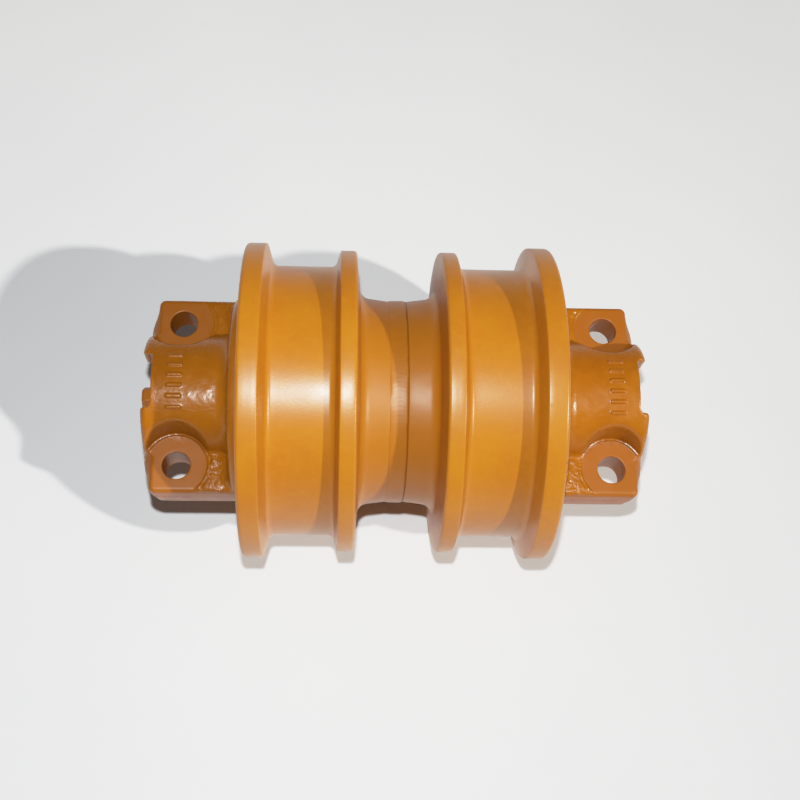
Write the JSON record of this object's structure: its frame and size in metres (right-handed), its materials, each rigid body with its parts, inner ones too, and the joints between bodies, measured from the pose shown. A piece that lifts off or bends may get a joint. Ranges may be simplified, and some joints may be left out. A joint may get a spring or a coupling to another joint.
{
  "type": "track roller",
  "caption": "Double-flange track roller with a welded two-piece shell turning on a fixed oil-filled shaft, held by bolt-down end collars.",
  "frame": {"origin": "the middle of the roller on the shaft's centre line", "axes": "+X along the shaft to the end without the oil plug, +Z away from the track frame, the way the bolt heads face"},
  "size_m": [0.3763, 0.2366, 0.2366],
  "materials": {
    "roller_paint": "semi-gloss yellow-orange machine paint",
    "collar_paint": "semi-gloss yellow-orange paint on rough casting",
    "plug_paint": "semi-gloss yellow-orange paint",
    "shaft_steel": "ground steel, painted over at the ends",
    "bushing_bronze": "machined bronze",
    "seal_iron": "lapped hard cast iron",
    "seal_rubber": "matt nitrile rubber",
    "pin_steel": "plain hardened steel",
    "washer_copper": "soft copper"
  },
  "bodies": {
    "shaft_and_collars": {"shaft": "shaft_steel", "left_collar": "collar_paint", "right_collar": "collar_paint", "left_fixed_seal_ring": "seal_iron", "right_fixed_seal_ring": "seal_iron", "left_fixed_toric_ring": "seal_rubber", "right_fixed_toric_ring": "seal_rubber", "left_shaft_o_ring": "seal_rubber", "right_shaft_o_ring": "seal_rubber", "left_lock_pin": "pin_steel", "right_lock_pin": "pin_steel", "oil_plug": "plug_paint", "oil_plug_washer": "washer_copper"},
    "roller": {"left_shell_half": "roller_paint", "right_shell_half": "roller_paint", "centre_weld": "roller_paint", "left_bushing": "bushing_bronze", "right_bushing": "bushing_bronze", "left_rotating_seal_ring": "seal_iron", "right_rotating_seal_ring": "seal_iron", "left_rotating_toric_ring": "seal_rubber", "right_rotating_toric_ring": "seal_rubber"}
  },
  "joints": [
    {"name": "roller_spin", "type": "hinge", "parent": "shaft_and_collars", "child": "roller", "pos_m": [0, 0, 0], "axis": [1, 0, 0], "continuous": true}
  ]
}
